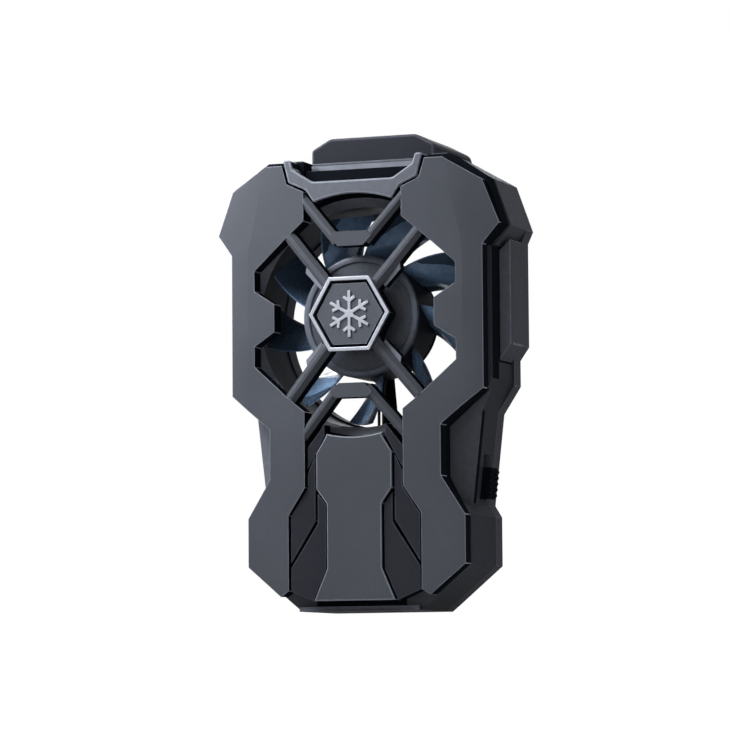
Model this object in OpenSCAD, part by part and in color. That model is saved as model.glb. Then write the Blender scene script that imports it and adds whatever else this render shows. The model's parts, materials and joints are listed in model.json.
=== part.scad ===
// Clip-on phone cooling fan, in millimetres
// X runs to the right, Y runs from the front face back towards the phone, Z is up
// The base stands on Z = 0, and the fan's axis runs along Y

/* [Body outline] */
// Height of the fan's axis above the base
fan_z = 50.5; // [49:0.1:53]
// Height of the body's top above the fan's axis
body_rise = 28; // [27:0.1:29]
// Depth of the notch in the top that the clip's head sits in
head_notch = 0.9; // [0.5:0.1:1.2]
// Width of the flat top
top_w = 29; // [28:0.5:31]
// Width at the upper corners
corner_w = 46.8; // [46:0.1:48]
// Height of the upper corners above the fan's axis
corner_z = 22.9; // [22.4:0.1:23.2]
// Width across the shoulders, the widest part of the housing
shoulder_w = 52.6; // [52.2:0.1:54]
// Height of the shoulders above the fan's axis
shoulder_z = 14.9; // [14.6:0.1:15.4]
// Width of the straight sides beside the fan
side_w = 46.6; // [46.4:0.1:47.4]
// Height of the sides' upper end above the fan's axis
side_hi = 11.6; // [11:0.1:12]
// Distance of the sides' lower end below the fan's axis
side_lo = 11.3; // [11:0.1:11.6]
// Width at the top of the waist
waist_hi_w = 41.4; // [41:0.1:42]
// Distance of the waist's top below the fan's axis
waist_hi = 16.6; // [16:0.1:17]
// Width at the bottom of the waist
waist_lo_w = 37.8; // [37.4:0.1:38.4]
// Distance of the waist's bottom below the fan's axis
waist_lo = 32.4; // [32:0.1:32.8]
// Width across the hips
hip_w = 40.2; // [39.8:0.1:41]
// Distance of the hips' upper end below the fan's axis
hip_hi = 34.4; // [34:0.1:35]
// Distance of the hips' lower end below the fan's axis
hip_lo = 43.6; // [43:0.1:44.4]
// Width of the flat base
base_w = 21.8; // [21:0.1:22.4]
// Width across the small chamfers beside the base
heel_w = 25; // [24.4:0.1:25.6]
// Height of the small chamfers beside the base
heel_h = 1.3; // [1.1:0.1:1.5]
// Wall thickness of the housing and the rear cover
wall = 1.2; // [1.1:0.05:1.3]

/* [Depths behind the badge] */
// Depth of the body, from the badge's front to the rear cover's back
body_d = 21; // [20.8:0.1:22]
// Depth of the armour's and the panels' back face
armour_d = 5.4; // [5.2:0.1:5.5]
// Depth of the housing's front in the shoulders
shoulder_d = 9.2; // [8.8:0.1:9.6]
// Depth of the housing's front beside the fan
side_d = 7.4; // [7.2:0.1:7.6]
// Depth of the housing's front in the waist
waist_d = 9.4; // [9:0.1:9.6]
// Depth of the joint between the housing and the rear cover
seam_d = 17.6; // [17.4:0.1:17.8]
// How far the rear cover stands out past the housing beside the springs
lip = 0.45; // [0.4:0.05:0.6]
// Thickness of the rear cover's back plate
back_t = 1; // [0.9:0.05:1.1]

/* [Front armour] */
// How far the armour's edge lies inside the housing's outline
armour_inset = 0.3; // [0.2:0.05:0.5]
// Depth of the armour's front at its inner edge
armour_front = 1.2; // [1:0.1:1.4]
// Depth of the armour's front at the crease of its wings
crease_d = 2.6; // [2.4:0.1:2.8]
// Distance between the creases of the left and right wings
crease_w = 39.2; // [38.4:0.2:40]
// Backward slope of the wings, in degrees
wing_slope = 14; // [12:0.5:15]
// Inward lean of the creases towards the top, in degrees
wing_lean = 12.5; // [10:0.5:14]
// Distance between the two armour halves
gap_w = 17.9; // [17.5:0.1:18.1]
// Height of the armour's flat top above the fan's axis
armour_rise = 26.35; // [26:0.05:26.6]
// Width between the waist notches of the armour
notch_w = 31.2; // [31:0.1:32]
// Distance of the waist notch's top below the fan's axis
notch_hi = 19.2; // [18.8:0.1:19.6]
// Distance of the waist notch's bottom below the fan's axis
notch_lo = 27.9; // [27.5:0.1:28.4]
// Width across the outer edges of the side windows
window_w = 36.8; // [36.2:0.1:37.2]
// Width between the teeth of the side windows
tooth_w = 29.2; // [28.6:0.1:29.8]
// Half height of a tooth at its tip
tooth_h = 2.4; // [2.1:0.1:2.7]
// Half height of the side windows at their outer edge
window_h = 8.3; // [8:0.1:8.6]
// Width of the grooves and seams between the front's panels
groove = 0.3; // [0.2:0.05:0.4]

/* [Grille and badge] */
// Angle of the grille's arms above the horizontal, in degrees
arm_angle = 50; // [49:0.5:51]
// Width of an arm
arm_w = 2.1; // [1.8:0.1:2.4]
// Distance of the arms' ends from the fan's axis
arm_r = 18.4; // [18.1:0.1:18.7]
// Width of the legs of the two chevrons
leg_w = 1.8; // [1.5:0.1:2.1]
// Distance of the chevrons' crossbars from the fan's axis
bar_z = 13; // [12.8:0.1:13.4]
// Height of a crossbar
bar_h = 2.5; // [2.2:0.1:2.8]
// Radius of the badge's ring, over its corners
badge_r = 7.35; // [7:0.05:7.5]
// Width of the badge's ring
badge_rim = 0.75; // [0.6:0.05:0.9]
// Width of the dark groove inside the badge's ring
badge_groove = 0.55; // [0.4:0.05:0.7]

/* [Fan] */
// Radius of the air tunnel
tunnel_r = 19; // [18.9:0.05:19.1]
// Radius of the air outlet in the rear cover
outlet_r = 18.6; // [18.2:0.1:18.7]
// Radius of the blades' tips
blade_r = 18.4; // [18:0.1:18.5]
// Number of blades
blades = 9; // [7:1:11]
// Angle that a blade covers when seen from the front, in degrees
blade_cover = 22; // [18:1:24]
// Angle by which a blade's root runs ahead of its tip, in degrees
blade_sweep = 15; // [10:1:18]
// Thickness of a blade
blade_t = 0.9; // [0.8:0.05:1]
// Radius of the hub's wall
hub_r = 10.6; // [10.5:0.05:10.7]
// Radius of the motor shaft
shaft_r = 1; // [0.9:0.05:1.05]
// Running clearance round the shaft
shaft_gap = 0.04; // [0.02:0.01:0.08]

/* [Clip] */
// How far the upper clip can slide up
clip_travel = 20; // [16:1:20]
// Width of the clip's head and of both jaws
jaw_w = 22.9; // [22:0.1:23.4]
// Depth of the clip head's front face
head_d = 12; // [11.6:0.1:12.6]
// Height of the clip head above the body's notch
head_h = 5; // [4.6:0.1:5.4]
// Reach of the jaws behind the body
grip_d = 11; // [10.5:0.1:12]
// Clear gap between the jaw pads with the clip closed
grip_gap = 67; // [66.5:0.1:67.4]
// Thickness of the rubber pads
pad_t = 0.8; // [0.7:0.05:0.9]
// Thickness of the hooks at the jaws' ends
hook_t = 2; // [1.8:0.1:2.4]
// How far the hooks stand over the jaw pads
hook_h = 2.5; // [2:0.1:3]
// Thickness of the slider plate
slider_t = 1.4; // [1.2:0.1:1.5]
// Sliding clearance round the slider
slide_gap = 0.15; // [0.1:0.01:0.2]

/* [Springs] */
// Radius of a spring, to the middle of its wire
spring_r = 0.68; // [0.64:0.01:0.7]
// Radius of the spring wire
wire_r = 0.16; // [0.14:0.01:0.17]
// Number of turns in a spring
spring_turns = 15; // [12:1:16]

/* [Switch] */
// Length of the switch knob along the waist
knob_h = 5.4; // [5:0.1:5.6]
// Width of the switch knob
knob_w = 3.3; // [3:0.1:3.5]
// How far the knob stands out of the waist
knob_out = 1.7; // [1.5:0.1:1.9]
// How far the knob slides
knob_travel = 2; // [1.6:0.1:2.1]
// Distance of the knob's middle below the fan's axis
knob_low = 28.7; // [28.4:0.1:29]

/* [Hidden] */

$fn = 72;
far = 80;

paint = "#4a5058";
paint_dark = "#343b42";
black = "#17181b";
rubber = "#202124";
silver = "#c8ccd2";
smoke = "#26303d";
steel = "#9aa0a6";
copper = "#b5713a";
board_green = "#1f4d3a";

front_y = -(body_d + grip_d) / 2;
cover_d = body_d - back_t;
zone_d = armour_d + 5.2;

// Depths of the battery and of the control board behind it
battery_d = [zone_d, zone_d + 4.4];
control_d = battery_d[1] + 1.2;

// Depths of the motor's pieces
rim_d = armour_d + 0.2;
hub_d = rim_d + 0.5;
yoke_d = hub_d + 0.9;
bearing_d = yoke_d + 1.8;
base_plate_d = 15.7;
base_plate_t = 1.2;
hub_back_d = base_plate_d - 0.9;
yoke_back_d = base_plate_d - 1.3;
magnet_back_d = yoke_back_d - 0.2;
core_back_d = base_plate_d - 2.3;
board_t = 0.8;

// Radii of the motor's pieces
bearing_r = 2.2;
boss_r = 3;
pole_r = 7.1;
magnet_in_r = 7.4;
magnet_r = 8.6;
yoke_r = 9.2;

// Heights and places of the clip
head_z = body_rise - head_notch;
lower_pad_z = -fan_z + 8;
upper_pad_z = lower_pad_z + grip_gap;
jaw_t = 4.2;
slider_d = seam_d + 0.75;
slot_w = side_w - 2 * wall - 2.2;
tongue_w = 16;
tongue_h = 3.3;
tab_t = 1.3;
tab_z = corner_z - 0.4 - tab_t - clip_travel;
leg_low = clip_travel - 8;
duct_t = 0.8;
duct_r = outlet_r + duct_t;
arch_r = duct_r + 2 * slide_gap;
spring_x = slot_w / 2 + spring_r + 3 * wire_r - 0.15;
spring_low = leg_low - 0.5;

// The waist's tilt, which the switch follows
waist_tilt = atan((waist_hi_w - waist_lo_w) / 2 / (waist_lo - waist_hi));
knob_x = waist_lo_w / 2 + (waist_lo - knob_low) * tan(waist_tilt);

// A point list for the right half, from the base up, closed by its mirror image
function both(half) =
  concat(half, [for (i = [len(half) - 1:-1:0]) [-half[i][0], half[i][1]]]);

// A polygon whose edges are all moved outwards by d
function edge_normal(a, b) = [b[1] - a[1], a[0] - b[0]] / norm(b - a);
function moved_corner(a, b, c, d) =
  let (n = edge_normal(a, b), m = edge_normal(b, c)) b + d * (n + m) / (1 + n * m);
function grown(pts, d) =
  let (n = len(pts)) [for (i = [0:n - 1]) moved_corner(pts[(i + n - 1) % n], pts[i], pts[(i + 1) % n], d)];

housing_half = [
  [base_w / 2, -fan_z],
  [heel_w / 2, -fan_z + heel_h],
  [hip_w / 2, -hip_lo + 0.8],
  [hip_w / 2, -hip_hi],
  [waist_lo_w / 2, -waist_lo],
  [waist_hi_w / 2, -waist_hi],
  [side_w / 2, -side_lo],
  [side_w / 2, side_hi],
  [shoulder_w / 2, shoulder_z],
  [corner_w / 2, corner_z],
  [top_w / 2, body_rise]
];

// The raised grip on each side, between the sides' slanted ends
grip_out = 2.05;
grip_low = 8;
grip_high = 10.9;
grip_front_d = 11.2;
grip_half = [
  [side_w / 2, -grip_low],
  [side_w / 2 + grip_out, -grip_low + 2.9],
  [side_w / 2 + grip_out, grip_high + 1.9],
  [side_w / 2, grip_high]
];

// The rear cover's outline, which follows the housing and its grips
cover_half = concat(
  [for (i = [0:5]) housing_half[i]],
  [[side_w / 2 + lip, -side_lo - 0.6], [side_w / 2 + lip, -grip_low + 0.6]],
  [for (i = [1:2]) grip_half[i]],
  [for (i = [8:10]) housing_half[i]]
);

// A flat shape drawn in X and Z round the fan's axis, from depth a to depth b
module slab(a, b) {
  translate([0, front_y + b, fan_z])
    rotate([90, 0, 0])
      linear_extrude(b - a)
        children();
}

// A shape of revolution about the fan's axis, drawn as radius and depth
module turned() {
  translate([0, front_y, fan_z])
    rotate([-90, 0, 0])
      rotate_extrude($fn = 96)
        children();
}

// A ring about the fan's axis
module ring(r_in, r_out, a, b) {
  turned()
    translate([r_in, a])
      square([r_out - r_in, b - a]);
}

// A block given by its lowest and highest x, depth and height above the fan's axis
module block(x, d, z) {
  translate([x[0], front_y + d[0], fan_z + z[0]])
    cube([x[1] - x[0], d[1] - d[0], z[1] - z[0]]);
}

// A round rod along Y
module rod(x, z, r, a, b) {
  translate([x, front_y + a, fan_z + z])
    rotate([-90, 0, 0])
      cylinder(h = b - a, r = r, $fn = 32);
}

// Everything in front of the armour: its crowned inner face, and the wing that slopes back from the crease
module in_front_of_armour() {
  translate([0, front_y, -1])
    linear_extrude(2 * far)
      polygon([
        [0, -far],
        [0, armour_front],
        [crease_w / 2, crease_d],
        [far, crease_d + (far - crease_w / 2) * tan(wing_slope)],
        [far, -far]
      ]);
}

// Everything in front of a wing's upper end, a plane that meets the crowned face in a leaning crease
module in_front_of_upper_wing() {
  crown = (crease_d - armour_front) / (crease_w / 2);
  lean = wing_lean - asin(crown * sin(wing_lean) / tan(wing_slope));
  translate([crease_w / 2, front_y + crease_d, fan_z + side_hi])
    rotate([0, -lean, 0])
      rotate([0, 0, wing_slope])
        translate([-far, -far, -far])
          cube([2 * far, far, 2 * far]);
}

function turn(a) = [cos(a), sin(a)];
function arm_end(side) = arm_r * turn(arm_angle) + side * arm_w / 2 * [-sin(arm_angle), cos(arm_angle)];
function flipped(p) = [p[0], -p[1]];

// The right armour's outline: its top, outer edge, base, inner edge and window
notch_x = notch_w / 2;
armour_hip = hip_w / 2 - armour_inset;
armour_side = side_w / 2 - armour_inset;
gap_x = gap_w / 2;
inner_step = 3.15;
armour_half = [
  [gap_x + inner_step + 1, armour_rise],
  [gap_x + inner_step, armour_rise - 3.3],
  [gap_x, armour_rise - 4.75],
  [gap_x, arm_end(1)[1] + 1.75],
  arm_end(1),
  arm_end(-1),
  [window_w / 2, window_h],
  [window_w / 2, tooth_h + 2.4],
  [tooth_w / 2, tooth_h],
  [tooth_w / 2, -tooth_h],
  [window_w / 2, -tooth_h - 2.4],
  [window_w / 2, -window_h],
  flipped(arm_end(-1)),
  flipped(arm_end(1)),
  [gap_x, -arm_end(1)[1] - 1.6],
  [gap_x, -notch_lo - 1.5],
  [gap_x + inner_step, -hip_hi + 0.3],
  [gap_x + inner_step, -hip_lo - 3.4],
  [gap_x + inner_step + 1.5, -hip_lo - 4.4],
  [armour_hip, -hip_lo + 0.8],
  [armour_hip, -hip_hi - 0.1],
  [notch_x, -notch_lo],
  [notch_x, -notch_hi],
  [armour_side, -side_lo - 1.9],
  [armour_side, side_hi - 0.3],
  [shoulder_w / 2 - armour_inset - 0.2, shoulder_z],
  [corner_w / 2 - armour_inset - 0.2, corner_z - 0.5],
  [top_w / 2 + 1.75, armour_rise]
];

module armour() {
  difference() {
    slab(armour_front - 0.4, armour_d) polygon(armour_half);
    in_front_of_armour();
    in_front_of_upper_wing();
  }
}

module right_armour() color(paint) armour();

module left_armour() color(paint) mirror([1, 0, 0]) armour();

// A ridged bar from one point to another, each given as [x, z, depth of its ridge]
module bar(p, q, w, bevel, t) {
  run = norm([q[0] - p[0], q[1] - p[1]]);
  translate([p[0], front_y + p[2], fan_z + p[1]])
    rotate([0, -atan2(q[1] - p[1], q[0] - p[0]), 0])
      rotate([0, 0, atan2(q[2] - p[2], run)])
        rotate([90, 0, 90])
          linear_extrude(norm(q - p))
            polygon([[bevel, -w / 2], [0, -w * 0.12], [0, w * 0.12], [bevel, w / 2], [t, w / 2], [t, -w / 2]]);
}

// Four copies, mirrored left to right and top to bottom about the fan's axis
module four_ways() {
  for (flip_x = [0, 1], flip_z = [0, 1])
    translate([0, 0, fan_z])
      mirror([flip_x, 0, 0])
        mirror([0, 0, flip_z])
          translate([0, 0, -fan_z])
            children();
}

// Depths of the arms' front at the badge and at the armour, and of the lugs beside them
arm_front = [0.9, 1.9];
bar_t = 3;
lug_d = [2.2, 4];

// The X of four ridged arms with their lugs, and the seat of the badge
module cross_grille() color(paint) {
  four_ways() {
    bar(concat(4.6 * turn(arm_angle), [arm_front[0]]), concat(arm_r * turn(arm_angle), [arm_front[1]]),
      arm_w, 0.7, bar_t);
    slab(lug_d[0], lug_d[1])
      polygon([[8.4, 9.6], [5.2, 5.4], [5.9, 4.5], [8.7, 7.5]]);
  }
  slab(badge_t, badge_t + 3.5)
    circle(r = badge_r - 0.35, $fn = 6);
}

// A chevron: a crossbar with a ridged leg on each side, which ends at the armour
leg_rise = 7.4;
module chevron() {
  for (s = [0, 1])
    mirror([s, 0, 0])
      intersection() {
        bar([2.6, bar_z - 0.4, arm_front[0]],
          [gap_x + 2, bar_z - 0.4 + leg_rise * (gap_x - 0.6) / (gap_x - 2.6), 2.1], leg_w, 0.6, bar_t);
        block([0, gap_x], [0, armour_d], [0, armour_rise]);
      }
  slab(arm_front[0], arm_front[0] + bar_t)
    polygon([
      [-2.3, bar_z - bar_h / 2],
      [-3.9, bar_z + 0.3],
      [-3, bar_z + bar_h / 2],
      [3, bar_z + bar_h / 2],
      [3.9, bar_z + 0.3],
      [2.3, bar_z - bar_h / 2]
    ]);
}

module upper_chevron() color(paint) chevron();

module lower_chevron() color(paint)
  translate([0, 0, 2 * fan_z]) mirror([0, 0, 1]) chevron();

badge_t = 0.9;
plate_r = badge_r - badge_rim - badge_groove;
emblem_h = 0.25;

module badge_ring() color(silver) slab(0, badge_t) difference() {
  circle(r = badge_r, $fn = 6);
  circle(r = badge_r - badge_rim, $fn = 6);
}

module badge_plate() color(paint_dark) slab(emblem_h + 0.15, badge_t) circle(r = plate_r, $fn = 6);

// A plain snow crystal with six branched arms
module badge_emblem() {
  stem_w = 0.5;
  stem = plate_r * 0.66;
  twig = stem * 0.32;
  color(silver) slab(0.15, emblem_h + 0.15) {
    for (a = [30:60:330])
      rotate(a) {
        translate([0, -stem_w / 2]) square([stem, stem_w]);
        translate([stem * 0.55, 0])
          for (b = [-55, 55])
            rotate(b) translate([0, -stem_w / 2]) square([twig, stem_w]);
      }
    circle(r = stem * 0.2, $fn = 6);
  }
}

panel_d = armour_front + 0.7;
accent_d = panel_d + 0.5;
rim_clear = 1.9;

// Height of the bridge's top in the middle, and of the ledge over it
bridge_z = armour_rise - 3.1;
// How far the bridge's ears and the dark frame rise over the armour
ear_h = 0.9;
ledge_z = [bridge_z + 0.5, bridge_z + 2.3];
ledge_x = 9.8;

module top_bridge() color(paint) slab(panel_d, armour_d) difference() {
  polygon(both([
    [6.7, tunnel_r],
    [gap_x - groove, armour_rise - 4.5],
    [gap_x + inner_step - groove, armour_rise - 3.1],
    [gap_x + inner_step + 1 - groove, armour_rise + ear_h],
    [gap_x + 2.5, armour_rise + ear_h],
    [gap_x + 2, armour_rise - 0.8],
    [7.3, bridge_z]
  ]));
  circle(r = tunnel_r + rim_clear);
}

panel_top_x = 5.1;
panel_x = 6.9;
panel_low = -fan_z + 1.7;
module centre_panel() color(paint) slab(panel_d, armour_d) difference() {
  polygon(both([
    [7.4, panel_low],
    [panel_top_x - 0.1, -hip_lo + 0.3],
    [panel_top_x - 0.1, -waist_lo + 0.1],
    [panel_x, -notch_lo - 1.8],
    [panel_x, -notch_hi - 4.4],
    [panel_top_x, -tunnel_r - 1.75],
    [panel_top_x, -tunnel_r]
  ]));
  circle(r = tunnel_r + rim_clear);
}

// The upper accent, with a small parallelogram over it across a groove
module upper_accent() color(paint_dark) slab(accent_d, armour_d) {
  polygon([
    [gap_x - groove, -notch_hi - 3.3],
    [panel_top_x + groove + 0.1, -tunnel_r + 0.4],
    [panel_top_x + groove + 0.1, -tunnel_r - 1.7],
    [gap_x - groove, -notch_lo + 1.6]
  ]);
  polygon([
    [gap_x - groove, -notch_lo + 1.6 - 1.9 * groove],
    [panel_x + groove, -notch_hi - 4.3 - 0.4],
    [panel_x + groove, -hip_hi - 0.7],
    [gap_x + inner_step - groove, -hip_lo + 1.2],
    [gap_x + inner_step - groove, -hip_hi + 0.2],
    [gap_x - groove, -notch_lo - 1.6]
  ]);
}

module lower_accent() color(paint_dark) slab(accent_d, armour_d) polygon([
  [panel_x - 0.05, -notch_lo - 2.5],
  [panel_top_x + groove - 0.1, -waist_lo],
  [panel_top_x + groove - 0.1, -hip_lo + 0.2],
  [7.4 + groove, panel_low],
  [gap_x + inner_step - groove, -hip_lo - 3.5],
  [gap_x + inner_step - groove, -hip_lo + 0.5],
  [panel_x - 0.05, -hip_hi - 1.2]
]);

module right_upper_accent() upper_accent();
module left_upper_accent() mirror([1, 0, 0]) upper_accent();
module right_lower_accent() lower_accent();
module left_lower_accent() mirror([1, 0, 0]) lower_accent();

// The four height zones of the body: lowest and highest z, and the depth of the housing's front
zones = [
  [-fan_z, -waist_lo - 0.2, armour_d],
  [-waist_lo - 0.2, -side_lo - 1.8, waist_d],
  [-side_lo - 1.8, side_hi - 0.2, side_d],
  [side_hi - 0.2, body_rise, shoulder_d]
];

module in_zone(zone, margin = 0) {
  intersection() {
    children();
    translate([-far, zone[0] + margin])
      square([2 * far, zone[1] - zone[0] - 2 * margin]);
  }
}

// The dark frame between the armour and the housing, set in from both
frame_inset = 0.8;
frame_half = [
  [waist_lo_w / 2 - 1.6, -waist_lo - 0.2],
  [notch_x - frame_inset, -notch_lo],
  [notch_x - frame_inset, -notch_hi],
  [side_w / 2 - frame_inset, -side_lo - 1.4],
  [side_w / 2 - frame_inset, side_hi],
  [shoulder_w / 2 - 0.4, shoulder_z],
  [corner_w / 2 - 0.2, corner_z],
  [top_w / 2 + 2.2, armour_rise + ear_h]
];
flange_w = 1.9;
module inner_frame() color(black) difference() {
  for (i = [1:3])
    slab(armour_d, zones[i][2])
      in_zone(zones[i]) polygon(both(frame_half));
  ring(0, tunnel_r + flange_w + 0.1, 0, body_d);
  block([-gap_x - 1.3, gap_x + 1.3], [0, body_d], [bridge_z + 0.3, far]);
}

// A screw boss in the housing, beside the clip's path
boss_x = [24.3, 16.8];
boss_z = [16.8, -40];
boss_front = [zone_d - wall, armour_d + wall - 0.2];
screw_boss_r = 1.25;
screw_r = 0.6;
module screw_places() {
  for (i = [0, 1], s = [-1, 1])
    translate([s * boss_x[i], 0, boss_z[i]])
      children();
}
module screw_bosses() {
  for (i = [0, 1], s = [-1, 1])
    rod(s * boss_x[i], boss_z[i], screw_boss_r, boss_front[i], seam_d);
}

socket_w = 8.94;
socket_t = 3.2;
socket_d = control_d - socket_t / 2;
socket_gap = 0.1;
// A slot with round ends, along X
module round_slot(w, t) {
  square([w - t, t], center = true);
  for (s = [-1, 1])
    translate([s * (w - t) / 2, 0])
      circle(d = t, $fn = 32);
}

// The sill under the centre panel, along the base's front
sill_d = 4;
sill_t = 0.8;

module mid_housing() color(paint) difference() {
  union() {
    difference() {
      for (zone = zones)
        slab(zone[2], seam_d)
          in_zone(zone) polygon(both(housing_half));
      slab(zone_d, far)
        polygon(grown(both(housing_half), -wall));
      for (zone = zones)
        slab(zone[2] + wall, far)
          in_zone(zone, wall) polygon(grown(both(housing_half), -wall));
    }
    slab(sill_d, armour_d)
      translate([-base_w / 2, -fan_z])
        square([base_w, sill_t]);
    block([-ledge_x, ledge_x], [armour_d, zone_d], ledge_z);
    screw_bosses();
  }
  ring(0, tunnel_r + 1.1, 0, body_d);
  block([-jaw_w / 2 - 0.5, jaw_w / 2 + 0.5], [0, body_d], [head_z, far]);
  block([-jaw_w / 2 - 0.5, jaw_w / 2 + 0.5], [0, head_d - 2], [armour_rise - 0.6, far]);
  screw_places() rod(0, 0, screw_r, zone_d + 0.8, body_d);
  translate([0, front_y + socket_d, -1])
    linear_extrude(4)
      round_slot(socket_w + 2 * socket_gap, socket_t + 2 * socket_gap);
  knob_frame()
    translate([-4, -knob_w / 2 - 0.15, -knob_h / 2 - 0.15])
      cube([8, knob_w + 0.3, knob_h + knob_travel + 0.3]);
}

// The frame of the switch: x out of the waist, y back, z up along it
knob_d = 14.4;
module knob_frame() {
  translate([knob_x, front_y + knob_d, fan_z - knob_low])
    rotate([0, waist_tilt, 0])
      children();
}

module side_grip() color(paint) slab(grip_front_d, seam_d) polygon(grip_half);
module right_side_grip() side_grip();
module left_side_grip() mirror([1, 0, 0]) side_grip();

// Wall of the rear cover's rim, thinner than the housing's
cover_wall = wall - 0.4;

module rear_cover() color(paint) difference() {
  union() {
    difference() {
      slab(seam_d, body_d)
        polygon(both(cover_half));
      slab(seam_d - 1, cover_d)
        in_zone([wall - fan_z, body_rise - wall])
          polygon(grown(both(cover_half), -cover_wall));
    }
    ring(outlet_r, duct_r, seam_d, body_d);
    for (s = [-1, 1]) {
      rod(s * 12, -notch_lo - 2, 1.2, control_d + board_t, cover_d);
      intersection() {
        block([s * 21.9 - 0.75, s * 21.9 + 0.75], [slider_d - 0.2, cover_d], [-spring_low - 1.6, -spring_low]);
        slab(seam_d, body_d) polygon(both(cover_half));
      }
    }
  }
  ring(0, outlet_r, 0, body_d + 1);
  block([-slot_w / 2 - slide_gap, slot_w / 2 + slide_gap], [slider_d - slide_gap / 2, slider_d + slider_t + slide_gap / 2],
    [shoulder_z, far]);
  block([-jaw_w / 2 - 0.5, jaw_w / 2 + 0.5], [0, body_d + 1], [head_z, far]);
  screw_places() rod(0, 0, screw_r, 0, body_d + 1);
  screw_places() rod(0, 0, 1.2, body_d - 0.7, body_d + 1);
  for (s = [-1, 1])
    rod(s * jaw_screw_x, jaw_screw_z, 0.75, seam_d, body_d + 1);
}

corner_pad_r = 2.6;
module corner_pads() color(rubber)
  for (s = [-1, 1])
    rod(s * (outlet_r + corner_pad_r), 10, corner_pad_r, body_d, body_d + pad_t);

module back_pad() color(rubber) slab(body_d, body_d + pad_t) polygon(both([
  [9, -notch_lo - 9],
  [11, -notch_lo - 7],
  [11, -notch_hi - 6],
  [9, -notch_hi - 4]
]));

module case_screws() color(steel) screw_places() {
  rod(0, 0, screw_r, zone_d + 0.8, body_d - 0.7);
  difference() {
    rod(0, 0, 1.15, body_d - 0.7, body_d - 0.1);
    block([-0.15, 0.15], [body_d - 0.4, body_d], [-0.8, 0.8]);
    block([-0.8, 0.8], [body_d - 0.4, body_d], [-0.15, 0.15]);
  }
}

struts = [275, 35, 155];
strut_w = 2.2;
module fan_shroud() color(black) difference() {
  union() {
    turned() polygon([
      [tunnel_r + flange_w, rim_d],
      [tunnel_r + flange_w - 0.4, rim_d],
      [tunnel_r, rim_d + 1.4],
      [tunnel_r, seam_d],
      [tunnel_r + 1, seam_d],
      [tunnel_r + 1, side_d],
      [tunnel_r + flange_w, side_d]
    ]);
    ring(0, hub_r - 0.4, base_plate_d, base_plate_d + base_plate_t);
    ring(0, boss_r, bearing_d, base_plate_d + 0.1);
    slab(base_plate_d, base_plate_d + base_plate_t)
      for (a = struts)
        rotate(a)
          translate([hub_r - 1.4, -strut_w / 2])
            square([tunnel_r - hub_r + 1.9, strut_w]);
  }
  ring(0, bearing_r, 0, base_plate_d);
  block([-1.2, 1.2], [base_plate_d - 1.3, base_plate_d], [-tunnel_r - 1.5, -tunnel_r + 0.6]);
}

module sleeve_bearing() color("#b08d4a") ring(shaft_r + shaft_gap, bearing_r, bearing_d, base_plate_d);

core_d = [bearing_d + 0.8, core_back_d];
module stator_core() color(steel) slab(core_d[0], core_d[1]) difference() {
  union() {
    circle(r = boss_r + 1.2);
    for (a = [45:90:315])
      rotate(a) {
        translate([0, -0.8]) square([pole_r - 0.4, 1.6]);
        intersection() {
          difference() {
            circle(r = pole_r);
            circle(r = pole_r - 0.8);
          }
          polygon([[0, 0], pole_r * 2 * turn(-34), pole_r * 2 * turn(34)]);
        }
      }
  }
  circle(r = boss_r);
}

module stator_coils() color(copper)
  for (a = [45:90:315])
    translate([0, 0, fan_z]) rotate([0, a, 0]) translate([0, 0, -fan_z])
      difference() {
        block([boss_r + 1.35, pole_r - 1.2], [core_d[0] - 0.6, core_d[1] + 0.6], [-1.75, 1.75]);
        block([0, pole_r], core_d, [-0.8, 0.8]);
      }

module motor_board() color(board_green) ring(boss_r, yoke_r - 1, base_plate_d - board_t, base_plate_d);

// A thin lead along a list of points, each [x, depth, z], as one tube of eight sides
lead_r = 0.28;
lead_sides = 8;
function unit(v) = v / norm(v);
function lead_ring(points, i) =
  let (n = len(points) - 1,
    t = unit(points[min(i + 1, n)] - points[max(i - 1, 0)]),
    u = unit(cross(t, [1, 0, 0])),
    v = cross(u, t))
  [for (k = [0:lead_sides - 1])
    points[i] + lead_r * (cos(k * 360 / lead_sides) * u + sin(k * 360 / lead_sides) * v)];
module lead(points) {
  n = lead_sides;
  last = (len(points) - 1) * n;
  translate([0, front_y, fan_z])
    polyhedron(
      points = [for (i = [0:len(points) - 1]) each lead_ring(points, i)],
      faces = concat(
        split_faces([for (i = [0:len(points) - 2], k = [0:n - 1])
          [i * n + k, i * n + (k + 1) % n, (i + 1) * n + (k + 1) % n, (i + 1) * n + k]]),
        [for (k = [1:n - 2]) [0, k + 1, k]],
        [for (k = [1:n - 2]) [last, last + k, last + k + 1]]
      )
    );
}

lead_d = base_plate_d - lead_r - 0.02;
module motor_leads()
  for (i = [-1, 1])
    color(i < 0 ? steel : black)
      lead([
        [i * 0.4 + 0.7, lead_d, -yoke_r + 0.95],
        [i * 0.4 + 0.3, lead_d, -12],
        [i * 0.4, lead_d, -16],
        [i * 0.4, lead_d, -tunnel_r - 2.2],
        [i * 0.4, control_d - lead_r - 0.05, -control_top - 0.4],
        [i * 0.4, control_d - lead_r - 0.05, -control_top - 2]
      ]);

// One swept blade: stations along the radius, each with a cambered section
stations = 6;
chords = 5;
blade_front = rim_d + 1.6;
blade_depth = hub_back_d - 0.3 - blade_front;
function blade_point(i, j, side) =
  let (u = i / (stations - 1),
    s = j / (chords - 1),
    r = (hub_r - 0.3) + (blade_r - hub_r + 0.3) * u,
    lead_a = blade_sweep * (1 - u),
    a = 155 + lead_a - blade_cover * s - side * blade_t / r * 180 / PI)
  [r * cos(a), blade_front + blade_depth * (s + 0.09 * sin(180 * s)), r * sin(a)];
function grid_index(i, j, side) = side * stations * chords + i * chords + j;

// Splits four-cornered faces into triangles
function split_faces(faces) =
  [for (q = faces, t = [[0, 1, 2], [0, 2, 3]]) [q[t[0]], q[t[1]], q[t[2]]]];

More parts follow.
